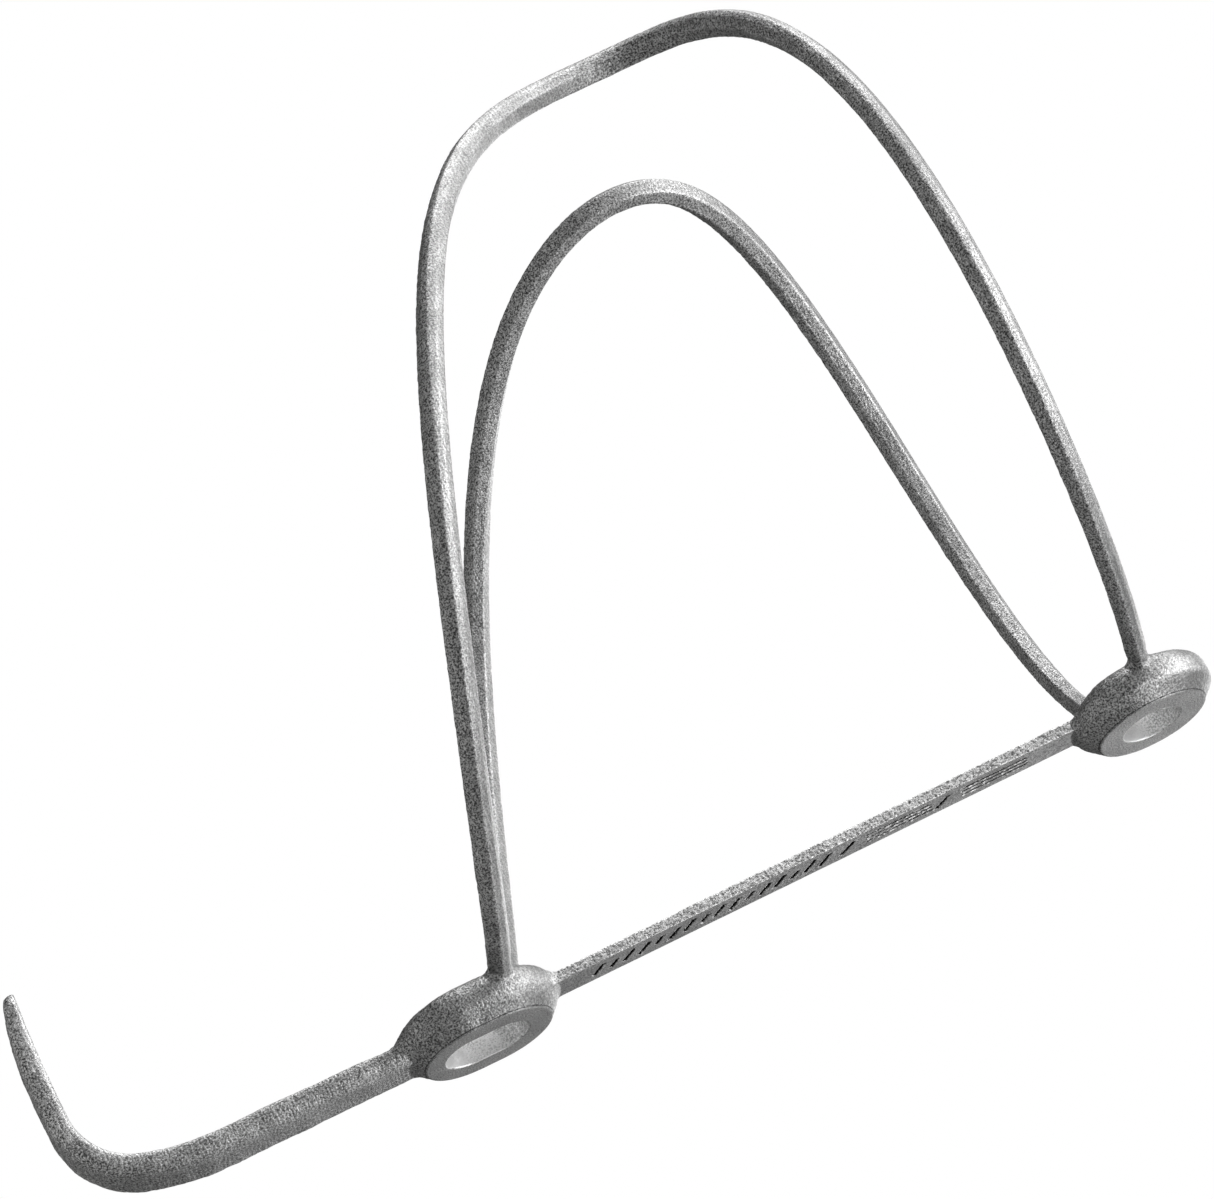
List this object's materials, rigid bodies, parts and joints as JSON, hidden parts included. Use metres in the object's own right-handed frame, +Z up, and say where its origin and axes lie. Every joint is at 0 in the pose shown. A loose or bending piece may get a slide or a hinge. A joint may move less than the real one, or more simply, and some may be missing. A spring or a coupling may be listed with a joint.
{
  "type": "bicycle bottle cage",
  "caption": "One-piece sintered metal bottle cage: slim spine bar between two bolt bosses, springy wire wings round the bottle and a hooked stop below.",
  "frame": {"origin": "centre of the upper bolt hole, on the flat face that lies against the bicycle frame", "axes": "+Z up along the spine bar, from the lower boss to the upper one; +Y from the bicycle frame towards the bottle, along the bolt; +X to the right seen from behind the cage, and the cage is symmetric about X = 0"},
  "size_m": [0.074, 0.0734, 0.1076],
  "materials": {
    "sintered_titanium": "matte, fine-grained, as sintered and bead blasted"
  },
  "bodies": {
    "root": {"spine_bar": "sintered_titanium", "upper_mount_boss": "sintered_titanium", "lower_mount_boss": "sintered_titanium", "right_wing_lower_arm": "sintered_titanium", "right_wing_front_bow": "sintered_titanium", "right_wing_upper_arm": "sintered_titanium", "left_wing_lower_arm": "sintered_titanium", "left_wing_front_bow": "sintered_titanium", "left_wing_upper_arm": "sintered_titanium", "stop_arm": "sintered_titanium", "stop_bend": "sintered_titanium", "stop_toe": "sintered_titanium"}
  },
  "joints": []
}
